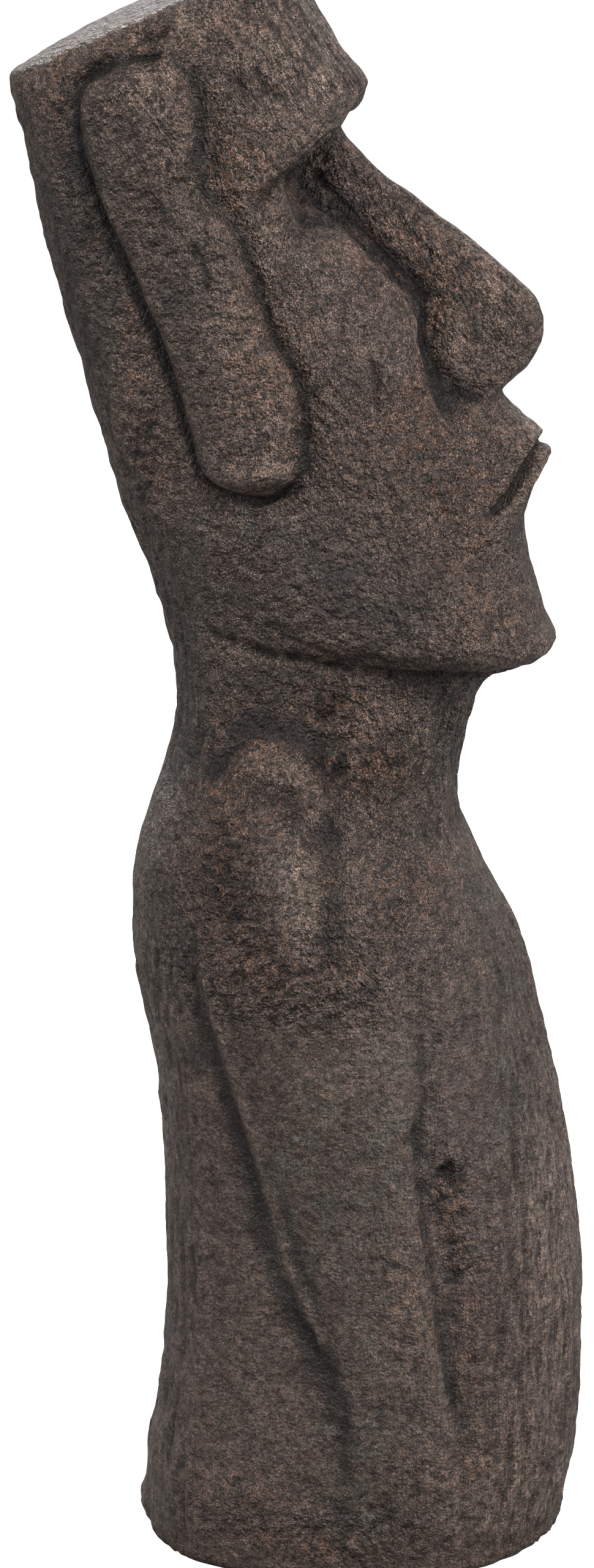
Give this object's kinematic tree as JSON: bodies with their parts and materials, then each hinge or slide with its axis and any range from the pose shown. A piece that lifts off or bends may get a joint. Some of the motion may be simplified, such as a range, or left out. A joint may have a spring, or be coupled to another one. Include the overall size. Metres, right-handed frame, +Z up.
{
  "type": "moai statue",
  "caption": "Standing moai figure with a long-eared head tilted back on a short neck and an armed torso cut flat below.",
  "frame": {"origin": "middle of the underside's bounding rectangle, on the surface that it stands on", "axes": "+Z up along the figure's height; the face looks along -Y; the figure's right side is at -X"},
  "size_m": [0.2386, 0.285, 0.8],
  "materials": {
    "carved_stone": "dark grey-brown tuff with rust-coloured grit, coarse brushed texture and a slight satin gloss"
  },
  "bodies": {
    "root": {"statue": "carved_stone"}
  },
  "joints": []
}
